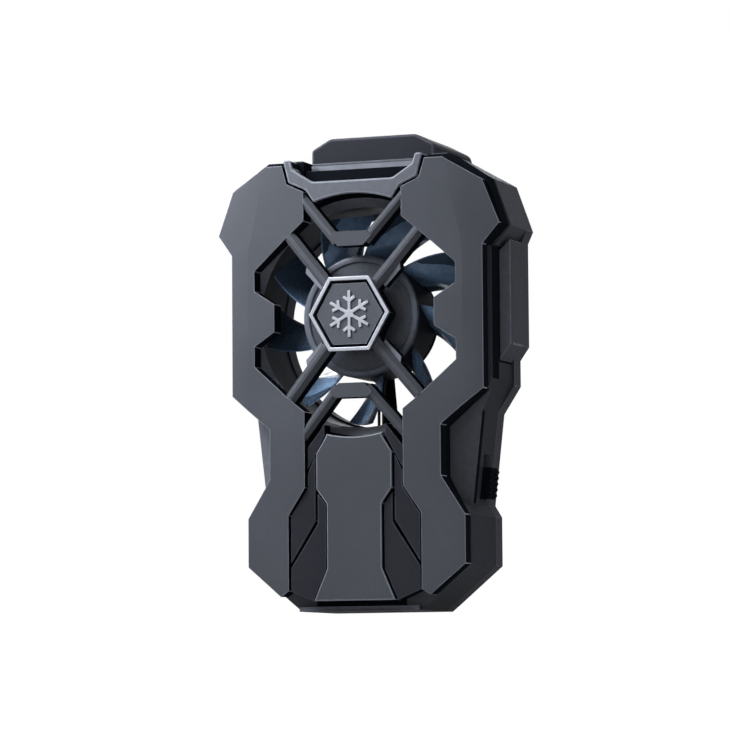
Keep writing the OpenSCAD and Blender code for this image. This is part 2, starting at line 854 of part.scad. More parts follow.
module blade() {
  m = stations - 1;
  n = chords - 1;
  polyhedron(
    points = [for (side = [0, 1], i = [0:m], j = [0:n]) blade_point(i, j, side)],
    faces = split_faces(concat(
      [for (i = [0:m - 1], j = [0:n - 1])
        [grid_index(i, j, 0), grid_index(i, j + 1, 0), grid_index(i + 1, j + 1, 0), grid_index(i + 1, j, 0)]],
      [for (i = [0:m - 1], j = [0:n - 1])
        [grid_index(i, j, 1), grid_index(i + 1, j, 1), grid_index(i + 1, j + 1, 1), grid_index(i, j + 1, 1)]],
      [for (i = [0:m - 1])
        [grid_index(i, 0, 0), grid_index(i + 1, 0, 0), grid_index(i + 1, 0, 1), grid_index(i, 0, 1)]],
      [for (i = [0:m - 1])
        [grid_index(i, n, 0), grid_index(i, n, 1), grid_index(i + 1, n, 1), grid_index(i + 1, n, 0)]],
      [for (j = [0:n - 1])
        [grid_index(0, j, 0), grid_index(0, j, 1), grid_index(0, j + 1, 1), grid_index(0, j + 1, 0)]],
      [for (j = [0:n - 1])
        [grid_index(m, j, 0), grid_index(m, j + 1, 0), grid_index(m, j + 1, 1), grid_index(m, j, 1)]]
    ))
  );
}

module impeller() color(smoke) {
  turned() polygon([
    [0, hub_d + 0.1],
    [hub_r - 0.8, hub_d + 0.1],
    [hub_r - 0.6, rim_d],
    [hub_r + 0.1, rim_d],
    [hub_r, hub_d + 0.4],
    [hub_r, hub_back_d],
    [yoke_r, hub_back_d],
    [yoke_r, yoke_d],
    [0, yoke_d]
  ]);
  for (i = [0:blades - 1])
    translate([0, front_y, fan_z])
      rotate([0, -i * 360 / blades, 0])
        blade();
}

module hub_cap() color(black) turned() polygon([
  [0, rim_d - 0.1],
  [hub_r * 0.5, rim_d + 0.05],
  [hub_r - 1.1, rim_d + 0.35],
  [hub_r - 1.1, hub_d + 0.1],
  [0, hub_d + 0.1]
]);

yoke_boss_r = 2;
module rotor_yoke() color(steel) turned() polygon([
  [shaft_r, yoke_d],
  [yoke_r, yoke_d],
  [yoke_r, yoke_back_d],
  [magnet_r, yoke_back_d],
  [magnet_r, yoke_d + 0.6],
  [yoke_boss_r, yoke_d + 0.6],
  [yoke_boss_r, bearing_d - 0.35],
  [shaft_r, bearing_d - 0.35]
]);

module magnet_ring() color("#3a3b3d") ring(magnet_in_r, magnet_r, bearing_d, magnet_back_d);

module motor_shaft() color(steel) ring(0, shaft_r, yoke_d, base_plate_d - 0.3);

module battery() color("#2c4a6e") block([-12.5, 12.5], battery_d, [-fan_z + 8, -notch_hi - 6.2]);

control_low = fan_z - 4.4;
control_top = notch_hi + 4.6;
module control_board() {
  color(board_green)
    block([-14, 14], [control_d, control_d + board_t], [-control_low, -control_top]);
  color(black) {
    block([-8, -4], [control_d + board_t, control_d + board_t + 0.9], [-38, -34]);
    block([4, 7], [control_d + board_t, control_d + board_t + 1.5], [-37, -34]);
    block([8, 10], [control_d + board_t, control_d + board_t + 0.7], [-43, -41]);
  }
}

module charge_socket() {
  color(silver)
    translate([0, front_y + socket_d, 0.2])
      difference() {
        linear_extrude(7.2) round_slot(socket_w, socket_t);
        translate([0, 0, -1]) linear_extrude(7.6) round_slot(socket_w - 0.6, socket_t - 0.6);
      }
  color(black)
    block([-3.3, 3.3], [socket_d - 0.35, socket_d + 0.35], [-fan_z + 1, -fan_z + 7]);
}

module switch_body() color(steel) knob_frame()
  translate([-wall - 4.2, -knob_w / 2, -knob_h / 2 - 0.6])
    cube([3.5, knob_w, knob_h + knob_travel + 0.8]);

module switch_knob() color(black) knob_frame() {
  translate([-wall - 0.6, -knob_w / 2, -knob_h / 2])
    cube([wall + knob_out + 0.4, knob_w, knob_h]);
  for (i = [-2:2])
    translate([knob_out - 0.2, -knob_w / 2, i * knob_h / 5.4])
      rotate([-90, 0, 0])
        cylinder(h = knob_w, r = 0.36, $fn = 24);
}

module clip_slider() color(steel) slab(slider_d, slider_d + slider_t) difference() {
  union() {
    intersection() {
      polygon(both([
        [slot_w / 2, -leg_low],
        [slot_w / 2, far],
      ]));
      translate([-far, -far]) square([2 * far, far + head_z]);
      polygon(both(housing_half));
    }
    translate([-tongue_w / 2, head_z - 1])
      square([tongue_w, tongue_h + 1]);
    for (s = [-1, 1])
      translate([s * slot_w / 2 - (s < 0 ? 1.5 : 0.1), tab_z])
        square([1.6, tab_t]);
  }
  circle(r = arch_r);
  translate([-arch_r, -far]) square([2 * arch_r, far]);
}

// The jaws' outline seen from the front: a block with two cut corners
function jaw_face(low, high) = both([[jaw_w / 2, low], [jaw_w / 2, high - 1.9], [jaw_w / 2 - 3.5, high]]);

module upper_jaw() color(paint) difference() {
  union() {
    slab(head_d, body_d + grip_d)
      polygon(jaw_face(head_z + 0.2, head_z + head_h));
    block([-jaw_w / 2, jaw_w / 2], [body_d + 0.3, body_d + grip_d], [upper_pad_z + pad_t, head_z + 1]);
    block([-jaw_w / 2, jaw_w / 2], [body_d + grip_d - hook_t, body_d + grip_d], [upper_pad_z - hook_h, head_z + 1]);
  }
  slab(slider_d, slider_d + slider_t)
    translate([-tongue_w / 2, 0])
      square([tongue_w, head_z + tongue_h]);
  translate([0, front_y + body_d + grip_d, fan_z + head_z + head_h - 2.5])
    rotate([-40, 0, 0])
      translate([-far / 2, -far / 2, 0])
        cube([far, far, far]);
}

pad_w = jaw_w - 3;
module upper_jaw_pad() color(rubber)
  block([-pad_w / 2, pad_w / 2], [body_d + 0.9, body_d + grip_d - hook_t - 0.3], [upper_pad_z, upper_pad_z + pad_t]);

jaw_screw_x = 7.5;
jaw_screw_z = lower_pad_z - pad_t - jaw_t / 2;
module lower_jaw() color(paint) difference() {
  union() {
    slab(body_d, body_d + grip_d)
      mirror([0, 1])
        polygon(jaw_face(-lower_pad_z + pad_t, -lower_pad_z + pad_t + jaw_t));
    block([-jaw_w / 2, jaw_w / 2], [body_d + grip_d - hook_t, body_d + grip_d],
      [lower_pad_z - pad_t - 0.1, lower_pad_z + hook_h]);
  }
  for (s = [-1, 1])
    rod(s * jaw_screw_x, jaw_screw_z, 0.75, 0, body_d + 6);
}

module lower_jaw_pad() color(rubber)
  block([-pad_w / 2, pad_w / 2], [body_d + 0.9, body_d + grip_d - hook_t - 0.3], [lower_pad_z - pad_t, lower_pad_z]);

module lower_jaw_screws() color(steel)
  for (s = [-1, 1]) {
    rod(s * jaw_screw_x, jaw_screw_z, 0.75, cover_d - 0.1, body_d + 5.5);
    rod(s * jaw_screw_x, jaw_screw_z, 1.4, cover_d - 1, cover_d);
  }

// A wound spring as one tube: rings of six points along its helix
ring_steps = 8;
ring_sides = 6;
spring_high = tab_z;
spring_len = spring_high + spring_low - 2 * wire_r;
ring_count = spring_turns * ring_steps + 1;
function spring_point(i, k) =
  let (a = i * 360 / ring_steps, b = k * 360 / ring_sides, r = spring_r + wire_r * cos(b))
  [r * cos(a), r * sin(a), wire_r + spring_len * i / (ring_count - 1) + wire_r * sin(b)];
spring_gap = spring_len / spring_turns - 2 * wire_r;
echo(least_gap_between_spring_turns = spring_gap);

module spring() {
  n = ring_sides;
  last = (ring_count - 1) * n;
  polyhedron(
    points = [for (i = [0:ring_count - 1], k = [0:n - 1]) spring_point(i, k)],
    faces = concat(
      [for (i = [0:ring_count - 2], k = [0:n - 1], t = [0, 1])
        t == 0
          ? [i * n + k, i * n + (k + 1) % n, (i + 1) * n + (k + 1) % n]
          : [i * n + k, (i + 1) * n + (k + 1) % n, (i + 1) * n + k]],
      [for (k = [1:n - 2]) [0, k + 1, k]],
      [for (k = [1:n - 2]) [last, last + k, last + k + 1]]
    )
  );
}

module side_spring() color(steel)
  translate([spring_x, front_y + slider_d + slider_t / 2, fan_z - spring_low])
    spring();

module right_spring() side_spring();
module left_spring() mirror([1, 0, 0]) side_spring();

left_armour();
right_armour();
cross_grille();
upper_chevron();
lower_chevron();
badge_ring();
badge_plate();
badge_emblem();
top_bridge();
centre_panel();
left_upper_accent();
right_upper_accent();
left_lower_accent();
right_lower_accent();
inner_frame();
mid_housing();
left_side_grip();
right_side_grip();
rear_cover();
corner_pads();
back_pad();
case_screws();
fan_shroud();
sleeve_bearing();
stator_core();
stator_coils();
motor_board();
motor_leads();
impeller();
hub_cap();
rotor_yoke();
magnet_ring();
motor_shaft();
battery();
control_board();
charge_socket();
switch_body();
switch_knob();
clip_slider();
upper_jaw();
upper_jaw_pad();
left_spring();
right_spring();
lower_jaw();
lower_jaw_pad();
lower_jaw_screws();
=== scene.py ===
import json
import math
import bmesh
import bpy
from mathutils import Matrix, Vector


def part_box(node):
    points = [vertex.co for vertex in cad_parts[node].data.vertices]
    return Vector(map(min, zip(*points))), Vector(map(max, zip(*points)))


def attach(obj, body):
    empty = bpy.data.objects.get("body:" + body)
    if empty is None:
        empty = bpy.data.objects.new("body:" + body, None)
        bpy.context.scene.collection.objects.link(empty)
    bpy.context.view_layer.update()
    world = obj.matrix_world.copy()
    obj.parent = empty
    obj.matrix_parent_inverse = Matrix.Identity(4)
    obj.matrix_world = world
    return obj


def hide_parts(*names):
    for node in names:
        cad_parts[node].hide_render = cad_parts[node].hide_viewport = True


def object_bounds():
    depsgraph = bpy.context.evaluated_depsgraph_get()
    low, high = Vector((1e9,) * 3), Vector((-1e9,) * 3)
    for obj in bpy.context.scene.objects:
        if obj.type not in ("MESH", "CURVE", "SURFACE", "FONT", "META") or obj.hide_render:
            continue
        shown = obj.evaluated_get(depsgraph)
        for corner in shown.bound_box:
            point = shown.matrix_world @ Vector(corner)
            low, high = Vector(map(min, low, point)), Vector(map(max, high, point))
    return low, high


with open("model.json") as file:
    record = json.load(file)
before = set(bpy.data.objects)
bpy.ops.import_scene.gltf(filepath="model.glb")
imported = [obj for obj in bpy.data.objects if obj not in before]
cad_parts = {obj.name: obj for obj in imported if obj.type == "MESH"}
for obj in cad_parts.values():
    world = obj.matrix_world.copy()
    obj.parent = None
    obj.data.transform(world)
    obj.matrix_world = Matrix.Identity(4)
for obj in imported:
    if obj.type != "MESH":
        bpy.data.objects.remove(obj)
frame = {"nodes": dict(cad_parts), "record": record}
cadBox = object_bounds()
mm = 0.001
scene = bpy.context.scene
fanAxis = Vector((0, 0, 50.5 * mm))
frontY = cadBox[0][1]  # the badge's front, from which depths are counted
print("frame loaded:", len(frame["nodes"]), "nodes")

# Camera, at the angle of the photograph, a little below the object and to its right
cameraSetup = {
    "place": (0.2373, -0.6285, -0.0157),
    "right": (0.9338, 0.3580, -0.0071),
    "down": (-0.0378, 0.0787, -0.9962),
    "forward": (-0.3560, 0.9305, 0.0870),
    "focal": 3875,  # in widths of one photo pixel
    "photoWidth": 730,
    "sensor": 36,
}


def makeCamera(setup):
    data = bpy.data.cameras.new("photoCamera")
    data.sensor_width = setup["sensor"]
    data.lens = setup["focal"] * setup["sensor"] / setup["photoWidth"]
    data.clip_start = 0.01
    camera = bpy.data.objects.new("photoCamera", data)
    scene.collection.objects.link(camera)
    back = -Vector(setup["forward"]).normalized()
    right = Vector(setup["right"]).normalized()
    up = back.cross(right).normalized()
    turn = Matrix((right, up, back)).transposed().to_4x4()
    camera.matrix_world = Matrix.Translation(setup["place"]) @ turn
    scene.camera = camera


makeCamera(cameraSetup)

# Room: a pale floor, a pale world and soft lamps
roomSetup = {
    "floorWidth": 3.0,
    "floorColour": (0.35, 0.35, 0.35),
    "floorGlow": 0.62,  # keeps the floor pale where only the camera, metal and glass see it
    "ambient": 0.11,
    "key": {"place": (-0.088, -0.085, 0.15), "width": 0.09, "power": 0.4},
    "fill": {"place": (0.12, -0.8, 0.15), "width": 0.5, "power": 0.45},
    "top": {"place": (0.05, 0.02, 0.8), "width": 0.3, "power": 1.2},
    "side": {"place": (0.8, 0.1, 0.3), "width": 0.5, "power": 1.6},
    "back": {"place": (-0.5, 0.85, 0.45), "width": 0.6, "power": 5.0},
}


def makeLamp(name, lamp):
    data = bpy.data.lights.new(name, "AREA")
    data.size = lamp["width"]
    data.energy = lamp["power"]
    lampObject = bpy.data.objects.new(name, data)
    scene.collection.objects.link(lampObject)
    lampObject.location = lamp["place"]
    aim = fanAxis - Vector(lamp["place"])
    lampObject.rotation_euler = aim.to_track_quat("-Z", "Y").to_euler()
    lampObject.visible_camera = False


def seenBy(nodes, links, path):
    # 1 for a camera, glossy or transmission ray
    seen = nodes.new("ShaderNodeMath")
    seen.operation = "MAXIMUM"
    seenAll = nodes.new("ShaderNodeMath")
    seenAll.operation = "MAXIMUM"
    links.new(path.outputs["Is Camera Ray"], seen.inputs[0])
    links.new(path.outputs["Is Glossy Ray"], seen.inputs[1])
    links.new(seen.outputs[0], seenAll.inputs[0])
    links.new(path.outputs["Is Transmission Ray"], seenAll.inputs[1])
    return seenAll.outputs[0]


def makeRoom(setup):
    bm = bmesh.new()
    bmesh.ops.create_grid(bm, x_segments=1, y_segments=1, size=setup["floorWidth"] / 2)
    mesh = bpy.data.meshes.new("floor")
    bm.to_mesh(mesh)
    bm.free()
    floor = bpy.data.objects.new("floor", mesh)
    scene.collection.objects.link(floor)
    material = bpy.data.materials.new("paleFloor")
    material.use_nodes = True
    nodes, links = material.node_tree.nodes, material.node_tree.links
    nodes["Principled BSDF"].inputs["Specular IOR Level"].default_value = 0.2
    nodes["Principled BSDF"].inputs["Roughness"].default_value = 0.7
    nodes["Principled BSDF"].inputs["Base Color"].default_value = (*setup["floorColour"], 1)
    nodes["Principled BSDF"].inputs["Emission Color"].default_value = (1, 1, 1, 1)
    path = nodes.new("ShaderNodeLightPath")
    glow = nodes.new("ShaderNodeMath")
    glow.operation = "MULTIPLY"
    glow.inputs[1].default_value = setup["floorGlow"]
    links.new(seenBy(nodes, links, path), glow.inputs[0])
    links.new(glow.outputs[0], nodes["Principled BSDF"].inputs["Emission Strength"])
    # Seen from underneath, the floor lets the camera through
    side = nodes.new("ShaderNodeNewGeometry")
    both = nodes.new("ShaderNodeMath")
    both.operation = "MULTIPLY"
    clear = nodes.new("ShaderNodeBsdfTransparent")
    mix = nodes.new("ShaderNodeMixShader")
    links.new(side.outputs["Backfacing"], both.inputs[0])
    links.new(path.outputs["Is Camera Ray"], both.inputs[1])
    links.new(both.outputs[0], mix.inputs["Fac"])
    links.new(nodes["Principled BSDF"].outputs[0], mix.inputs[1])
    links.new(clear.outputs[0], mix.inputs[2])
    links.new(mix.outputs[0], nodes["Material Output"].inputs["Surface"])
    floor.data.materials.append(material)

    world = bpy.data.worlds.new("paleWorld")
    scene.world = world
    world.use_nodes = True
    nodes, links = world.node_tree.nodes, world.node_tree.links
    nodes.clear()
    path = nodes.new("ShaderNodeLightPath")
    plain = nodes.new("ShaderNodeBackground")
    plain.inputs["Strength"].default_value = setup["ambient"]
    pale = nodes.new("ShaderNodeBackground")
    pale.inputs["Color"].default_value = (1, 1, 1, 1)
    mix = nodes.new("ShaderNodeMixShader")
    out = nodes.new("ShaderNodeOutputWorld")
    links.new(seenBy(nodes, links, path), mix.inputs["Fac"])
    links.new(plain.outputs[0], mix.inputs[1])
    links.new(pale.outputs[0], mix.inputs[2])
    links.new(mix.outputs[0], out.inputs["Surface"])
    plain.inputs["Color"].default_value = (1, 1, 1, 1)
    for name in ("key", "fill", "top", "side", "back"):
        makeLamp(name, setup[name])
    scene.view_settings.view_transform = "Standard"


makeRoom(roomSetup)
print("camera and room made")

# Materials. Each finish has a tone that drifts over the surface, a fine grain and paler edges, which stand partly
# for rubbed wear and partly for painted highlights
finishes = {
    "armour_paint": {"colour": (0.079, 0.086, 0.104), "rough": 0.4, "grain": 2600, "depth": 0.000012,
                     "shine": 0.1, "rubAndHighlight": 3.2},
    "housing_paint": {"colour": (0.063, 0.068, 0.082), "rough": 0.46, "grain": 2600, "depth": 0.000014,
                      "shine": 0.006, "rubAndHighlight": 2.9},
    # rim_paint is a paler copy of the housing's grey, put on faces as painted light and painted highlight
    "rim_paint": {"colour": (0.098, 0.106, 0.126), "rough": 0.42, "grain": 2600, "depth": 0.000012,
                  "shine": 0.03, "rubAndHighlight": 2.3},
    "accent_paint": {"colour": (0.035, 0.037, 0.047), "rough": 0.48, "grain": 3200, "depth": 0.000016,
                     "shine": 0.006, "rubAndHighlight": 2.2},
    "frame_black": {"colour": (0.008, 0.010, 0.014), "rough": 0.55, "grain": 1800, "depth": 0.00002,
                    "shine": 0.0, "rubAndHighlight": 3.0},
    # blade_smoke's blue is painted reflection of blue light on a dark grey smoky plastic
    "blade_smoke": {"colour": (0.052, 0.082, 0.130), "rough": 0.26, "grain": 3200, "depth": 0.000003,
                    "shine": 0.3, "rubAndHighlight": 4.5, "drift": 0.03},
    # cap_gloss's blue tint is painted blue light on the hub's grey
    "cap_gloss": {"colour": (0.070, 0.079, 0.102), "rough": 0.3, "grain": 700, "depth": 0.000002,
                  "shine": 0.2, "rubAndHighlight": 2.6},
    "badge_metal": {"colour": (0.36, 0.38, 0.43), "rough": 0.4, "grain": 2600, "depth": 0.000003,
                    "metal": 1, "rubAndHighlight": 1.1, "drift": 0.05},
    "pad_rubber": {"colour": (0.016, 0.016, 0.018), "rough": 0.78, "grain": 2200, "depth": 0.00003},
    "steel": {"colour": (0.12, 0.124, 0.132), "rough": 0.42, "grain": 1400, "depth": 0.000008, "metal": 1},
    "bearing_bronze": {"colour": (0.48, 0.30, 0.12), "rough": 0.5, "grain": 4200, "depth": 0.00001, "metal": 1},
    "core_steel": {"colour": (0.22, 0.22, 0.23), "rough": 0.45, "grain": 5000, "depth": 0.00001, "metal": 1},
    "coil_copper": {"colour": (0.60, 0.24, 0.08), "rough": 0.3, "grain": 3000, "depth": 0.00002, "metal": 1},
    "magnet": {"colour": (0.030, 0.030, 0.033), "rough": 0.6, "grain": 3000, "depth": 0.00002},
    "board_green": {"colour": (0.010, 0.070, 0.035), "rough": 0.35, "grain": 1600, "depth": 0.00001},
    "lead_sleeve": {"colour": (0.012, 0.012, 0.014), "rough": 0.4, "grain": 2000, "depth": 0.00001},
    "battery_wrap": {"colour": (0.025, 0.065, 0.15), "rough": 0.28, "grain": 500, "depth": 0.00002},
    "socket_metal": {"colour": (0.55, 0.56, 0.58), "rough": 0.28, "grain": 2500, "depth": 0.000006, "metal": 1},
}
driftScale = 55
rubAndHighlightScale = 900


def makeFinish(name, look):
    material = bpy.data.materials.new(name)
    material.use_nodes = True
    nodes, links = material.node_tree.nodes, material.node_tree.links
    shader = nodes["Principled BSDF"]
    shader.inputs["Metallic"].default_value = look.get("metal", 0)
    shader.inputs["Specular IOR Level"].default_value = look.get("shine", 0.35)
    place = nodes.new("ShaderNodeTexCoord").outputs["Object"]

    def noise(scale, detail):
        node = nodes.new("ShaderNodeTexNoise")
        node.inputs["Scale"].default_value = scale
        node.inputs["Detail"].default_value = detail
        links.new(place, node.inputs["Vector"])
        return node.outputs["Fac"]

    def ranged(value, low, high, fromLow=0.35, fromHigh=0.65):
        node = nodes.new("ShaderNodeMapRange")
        node.inputs["From Min"].default_value = fromLow
        node.inputs["From Max"].default_value = fromHigh
        node.inputs["To Min"].default_value = low
        node.inputs["To Max"].default_value = high
        links.new(value, node.inputs["Value"])
        return node.outputs["Result"]

    def mixed(factor, first, second):
        node = nodes.new("ShaderNodeMix")
        node.data_type = "RGBA"
        links.new(factor, node.inputs["Factor"])
        for value, slotName in ((first, "A"), (second, "B")):
            socket = [s for s in node.inputs if s.name == slotName and s.type == "RGBA"][0]
            if isinstance(value, tuple):
                socket.default_value = (*value, 1)
            else:
                links.new(value, socket)
        return [s for s in node.outputs if s.type == "RGBA"][0]

    colour = look["colour"]
    drift = look.get("drift", 0.1)
    darker = tuple(c * (1 - drift) for c in colour)
    paler = tuple(c * (1 + drift) for c in colour)
    rubbedAndHighlit = tuple(c * look.get("rubAndHighlight", 1.7) for c in colour)
    tone = mixed(ranged(noise(driftScale, 3), 0, 1), darker, paler)
    grain = noise(look["grain"], 2)
    speckled = mixed(ranged(grain, 0, 0.5), tone, darker)
    edge = nodes.new("ShaderNodeAttribute")
    edge.attribute_name = "edgeWearAndHighlight"
    rubAndHighlight = nodes.new("ShaderNodeMath")
    rubAndHighlight.operation = "MULTIPLY"
    links.new(edge.outputs["Fac"], rubAndHighlight.inputs[0])
    links.new(ranged(noise(rubAndHighlightScale, 4), 0.75, 1), rubAndHighlight.inputs[1])
    # Marked faces are mixed towards a paler colour, for rubbed wear and for painted highlights
    links.new(mixed(rubAndHighlight.outputs[0], speckled, rubbedAndHighlit), shader.inputs["Base Color"])
    links.new(ranged(grain, look["rough"] - 0.06, look["rough"] + 0.06), shader.inputs["Roughness"])
    bump = nodes.new("ShaderNodeBump")
    bump.inputs["Strength"].default_value = 0.7
    bump.inputs["Distance"].default_value = look["depth"]
    links.new(grain, bump.inputs["Height"])
    links.new(bump.outputs["Normal"], shader.inputs["Normal"])
    return material


materials = {name: makeFinish(name, look) for name, look in finishes.items()}
slotOf = {s["node"]: s["material_slot"] for s in frame["record"]["subparts"]}
bodyOf = {n: b for b, members in frame["record"]["behaviour"]["bodies"].items() for n in members}
print("finishes made:", len(materials))


# Tools that the pieces share
def copyOf(nodeName):
    # The node's mesh, with its loose triangles merged and its flat faces made whole again
    bm = bmesh.new()
    bm.from_mesh(frame["nodes"][nodeName].data)
    bmesh.ops.remove_doubles(bm, verts=bm.verts, dist=2e-6)
    bmesh.ops.dissolve_degenerate(bm, dist=4e-6, edges=bm.edges)
    bmesh.ops.dissolve_limit(bm, angle_limit=math.radians(0.6), verts=bm.verts, edges=bm.edges)
    return bm


def sharpEdges(bm, angle=28):
    limit = math.radians(angle)
    return [e for e in bm.edges if e.is_manifold and e.calc_face_angle() > limit]


def softenEdges(bm, edges, width, segments=2):
    wearAndHighlight = bm.faces.layers.float.get("edgeWearAndHighlight") or bm.faces.layers.float.new("edgeWearAndHighlight")
    made = bmesh.ops.bevel(bm, geom=edges, offset=width, offset_type="OFFSET", segments=segments,
                           profile=0.5, affect="EDGES", clamp_overlap=True, material=-1)
    # The new bevel faces are marked to be paler, as rubbed wear and as painted highlight
    for face in made["faces"]:
        face[wearAndHighlight] = 1.0
    return made


def finishPiece(bm, pieceName, nodeNames, smoothAngle=1, slotName=None):
    # Folds wider than smoothAngle stay crisp, apart from those beside a moulded edge
    wearAndHighlight = bm.faces.layers.float.get("edgeWearAndHighlight")
    for face in bm.faces:
        face.smooth = True
    for edge in bm.edges:
        moulded = wearAndHighlight and any(f[wearAndHighlight] > 0 for f in edge.link_faces)
        limit = math.radians(50 if moulded else smoothAngle)
        edge.smooth = not (edge.is_manifold and edge.calc_face_angle() > limit)
    mesh = bpy.data.meshes.new(pieceName)
    bm.to_mesh(mesh)
    bm.free()
    piece = bpy.data.objects.new(pieceName, mesh)
    scene.collection.objects.link(piece)
    level = piece.modifiers.new("levelNormals", "WEIGHTED_NORMAL")
    level.keep_sharp = True
    slotName = slotName or slotOf[nodeNames[0]]
    mesh.materials.append(materials[slotName])
    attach(piece, bodyOf[nodeNames[0]])
    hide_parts(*nodeNames)
    return piece


# Casing pieces that keep the frame's shape and get moulded edges
casing = {
    "left_armour": 0.4, "right_armour": 0.4, "cross_grille": 0.2, "upper_chevron": 0.42, "lower_chevron": 0.42,
    "top_bridge": 0.34, "centre_panel": 0.22, "left_upper_accent": 0.16, "right_upper_accent": 0.16,
    "left_lower_accent": 0.16, "right_lower_accent": 0.16, "inner_frame": 0.15, "mid_housing": 0.32,
    "badge_ring": 0.12, "badge_plate": 0.1, "badge_emblem": 0.05,
    "upper_jaw": 0.5, "lower_jaw": 0.5, "fan_shroud": 0.14, "switch_knob": 0.1, "corner_pads": 0.18,
    "back_pad": 0.18, "upper_jaw_pad": 0.18, "lower_jaw_pad": 0.18, "case_screws": 0.08,
    "lower_jaw_screws": 0.08, "hub_cap": 0.08, "charge_socket": 0.07, "rear_cover": 0.2,
}
roundPieces = (
    "fan_shroud", "corner_pads", "case_screws", "lower_jaw_screws", "hub_cap", "charge_socket", "switch_knob",
)
darkPieces = ("upper_jaw", "lower_jaw")  # the clip is darker than the armour
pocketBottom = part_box("right_side_grip")[0][2] - 0.3 * mm  # where the pocket round a grip, painted black as painted shade, ends
housingLook = {
    "ledge": (10, 23.6, 25.6),  # half width, and lowest and highest point over the axis, of the ledge painted black as painted shadow
    "footWidth": 8.2,  # half width of the gap under the centre panel painted black as painted shade
    "footDepth": 5,
    "footHeight": 10,
    "seamDepth": 10.8,  # back edge of the wall round the waist recesses painted black as painted shade
    "recessPaintedLight": 0.6,
}
housingSplits = (
    ((0, 0, pocketBottom), (0, 0, 1)),
    ((housingLook["footWidth"] * mm, 0, 0), (1, 0, 0)),
    ((-housingLook["footWidth"] * mm, 0, 0), (1, 0, 0)),
    ((0, frontY + housingLook["seamDepth"] * mm, 0), (0, 1, 0)),
)


def makeCasing(widths):
    for nodeName, width in widths.items():
        bm = copyOf(nodeName)
        for place, normal in housingSplits if nodeName == "mid_housing" else ():
            everything = list(bm.verts) + list(bm.edges) + list(bm.faces)
            bmesh.ops.bisect_plane(bm, geom=everything, plane_co=place, plane_no=normal)
        # The rear cover's slot for the slider keeps its square corners
        edges = [e for e in sharpEdges(bm) if e.is_convex or nodeName != "rear_cover"]
        softenEdges(bm, edges, width * mm)
        finishPiece(bm, nodeName + "Shell", [nodeName], 25 if nodeName in roundPieces else 1,
                    "accent_paint" if nodeName in darkPieces else None)


makeCasing(casing)
print("casing pieces made:", len(casing))


def brightenHeadEdge(nodeName):
    # The clip head's lower front edge catches the light
    piece = bpy.data.objects[nodeName + "Shell"]
    piece.data.materials.append(materials["rim_paint"])
    wearAndHighlight = piece.data.attributes["edgeWearAndHighlight"].data
    for face in piece.data.polygons:
        if wearAndHighlight[face.index].value > 0 and face.normal.y < -0.2 and face.normal.z < -0.2:
            face.material_index = 1


brightenHeadEdge("upper_jaw")

# The front's plates' side walls are painted black as painted shade, behind their moulded edges
plates = {
    "left_armour", "right_armour", "top_bridge", "centre_panel", "left_upper_accent", "right_upper_accent",
    "left_lower_accent", "right_lower_accent", "upper_chevron", "lower_chevron", "cross_grille",
}
wallLook = {"facing": 0.3, "hubward": 0.3, "hubwardHighlight": 1, "lugTone": 0.9, "lugRadius": (7.8, 13.2), "armWidth": 2.1,
            "armAngle": 50}


def paintWallShade(look, nodeName):
    piece = bpy.data.objects[nodeName + "Shell"]
    wearAndHighlight = piece.data.attributes["edgeWearAndHighlight"].data
    piece.data.materials.append(materials["frame_black"])
    for face in piece.data.polygons:
        if abs(face.normal.y) < look["facing"] and wearAndHighlight[face.index].value == 0:
            face.material_index = 1


def brightenHubward(look, nodeName):
    # The chevrons' slopes towards the hub are painted bright as a painted highlight, and the lugs beside the
    # grille's arms are made paler
    piece = bpy.data.objects[nodeName + "Shell"]
    wearAndHighlight = piece.data.attributes["edgeWearAndHighlight"].data
    for face in piece.data.polygons:
        if face.normal.y > -0.2:
            continue
        centre = face.center - fanAxis
        centre.y = 0
        if nodeName != "cross_grille":
            if face.normal.y > -0.995 and face.normal.dot(-centre.normalized()) > look["hubward"]:
                wearAndHighlight[face.index].value = look["hubwardHighlight"]
            continue
        low, high = (r * mm for r in look["lugRadius"])
        slope = math.radians(look["armAngle"])
        aside = abs(abs(centre.x) * math.sin(slope) - abs(centre.z) * math.cos(slope))
        if low < centre.length < high and aside > look["armWidth"] / 2 * mm:
            wearAndHighlight[face.index].value = look["lugTone"]


frontTones = {"badge_plate": 0.15, "top_bridge": 0.3}  # fronts made paler than the armour; the top bridge's is painted light from above


def brightenFront(nodeName, tone):
    piece = bpy.data.objects[nodeName + "Shell"]
    wearAndHighlight = piece.data.attributes["edgeWearAndHighlight"].data
    for face in piece.data.polygons:
        if face.normal.y < -0.95 and wearAndHighlight[face.index].value == 0:
            wearAndHighlight[face.index].value = tone


for nodeName in sorted(plates):
    paintWallShade(wallLook, nodeName)
for nodeName, tone in frontTones.items():
    brightenFront(nodeName, tone)
for nodeName in ("upper_chevron", "lower_chevron", "cross_grille"):
    brightenHubward(wallLook, nodeName)
print("plate walls blackened")

# Badge seat: the groove inside the badge's ring is painted black as painted shade
badgeLook = {"seatDepth": 0.9, "seatRadius": 6.7}


def blackenGroove(look):
    piece = bpy.data.objects["cross_grilleShell"]
    for face in piece.data.polygons:
        centre = face.center - fanAxis
        inside = math.hypot(centre.x, centre.z) < look["seatRadius"] * mm
        if inside and face.center.y < frontY + (look["seatDepth"] + 0.05) * mm:
            face.material_index = 1


blackenGroove(badgeLook)

# Side grips, each with a slit along its outer wall, painted black inside as painted shade, and a front painted
# paler as painted light
gripLook = {"slitDepth": (11.5, 12.5), "slitCut": 0.5, "edge": 0.2, "frontPaintedLight": 0.8}


